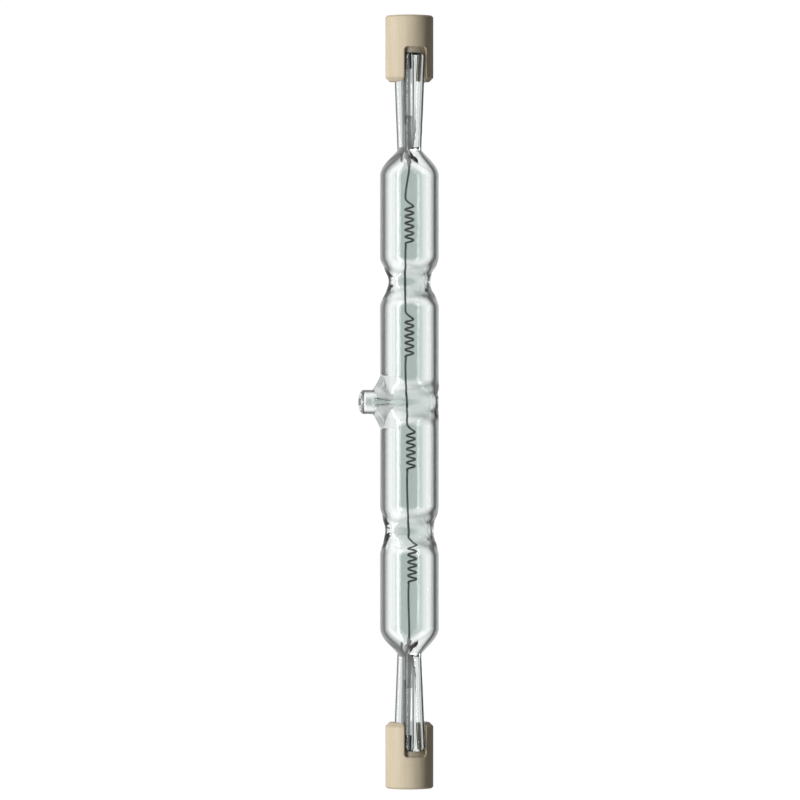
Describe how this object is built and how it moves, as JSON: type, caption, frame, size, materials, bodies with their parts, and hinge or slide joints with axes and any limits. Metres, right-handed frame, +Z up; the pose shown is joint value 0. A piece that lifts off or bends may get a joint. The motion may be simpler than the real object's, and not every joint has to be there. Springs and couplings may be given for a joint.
{
  "type": "linear halogen bulb",
  "caption": "Double-ended linear halogen lamp: clear quartz tube with squeezed necks, coiled filament, pressed foil seals and slotted ceramic caps with recessed contacts",
  "frame": {"origin": "centre of the front contact's face, on the lamp's long axis", "axes": "+Y along the lamp's long axis, from the front contact to the rear one; +Z up; +X to the right. The lamp lies as it comes to rest, with the sealed exhaust tip down on the -X side."},
  "size_m": [0.0122, 0.1176, 0.009],
  "materials": {
    "quartz": "clear fused quartz, fire polished",
    "tungsten": "drawn tungsten wire, dark grey",
    "molybdenum": "drawn and rolled molybdenum",
    "cement": "matt grey-white lamp cement",
    "steatite": "unglazed beige steatite, fine grained and matt",
    "contact_metal": "nickel-plated contact button"
  },
  "bodies": {
    "root": {"quartz_envelope": "quartz", "filament": "tungsten", "inner_lead_rear": "molybdenum", "inner_lead_front": "molybdenum", "foil_rear": "molybdenum", "foil_front": "molybdenum", "outer_lead_rear": "molybdenum", "outer_lead_front": "molybdenum", "cement_rear": "cement", "cement_front": "cement", "ceramic_cap_rear": "steatite", "ceramic_cap_front": "steatite", "contact_rear": "contact_metal", "contact_front": "contact_metal"}
  },
  "joints": []
}
